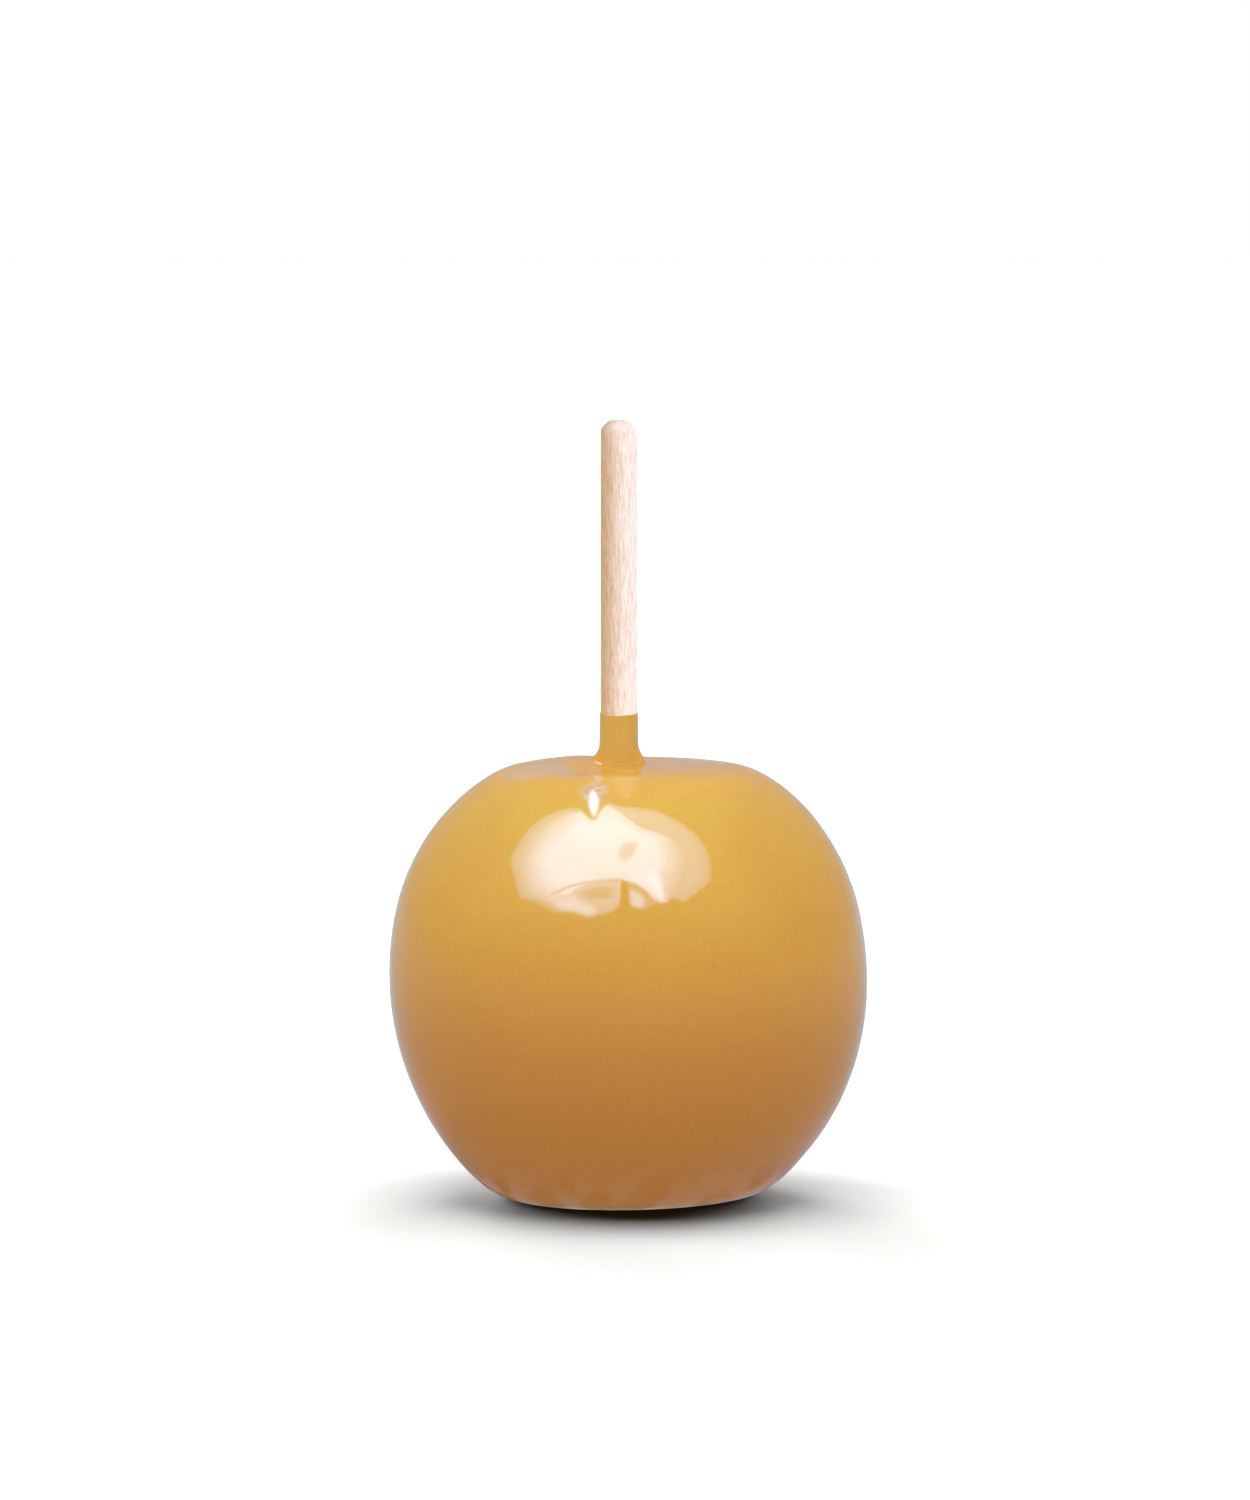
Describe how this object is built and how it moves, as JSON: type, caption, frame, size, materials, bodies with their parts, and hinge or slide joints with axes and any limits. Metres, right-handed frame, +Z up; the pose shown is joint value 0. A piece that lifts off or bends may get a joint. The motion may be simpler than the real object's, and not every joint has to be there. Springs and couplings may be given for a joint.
{
  "type": "caramel apple",
  "caption": "Whole apple in a smooth glossy caramel coat, standing on the flat foot where the coat set, with a round wooden stick in its top and a short sleeve of caramel on the stick.",
  "frame": {"origin": "middle of the apple's width and depth, on the surface that its foot stands on", "axes": "+Z up along the stick, +X to the right and +Y away from the side that the picture shows"},
  "size_m": [0.0837, 0.084, 0.1362],
  "materials": {
    "caramel": "smooth set caramel, golden at the top and browner towards the foot, with a soft gloss",
    "birch": "bare pale dowel, fine straight grain, matt"
  },
  "bodies": {
    "root": {"coated_apple": "caramel", "stick": "birch"}
  },
  "joints": []
}
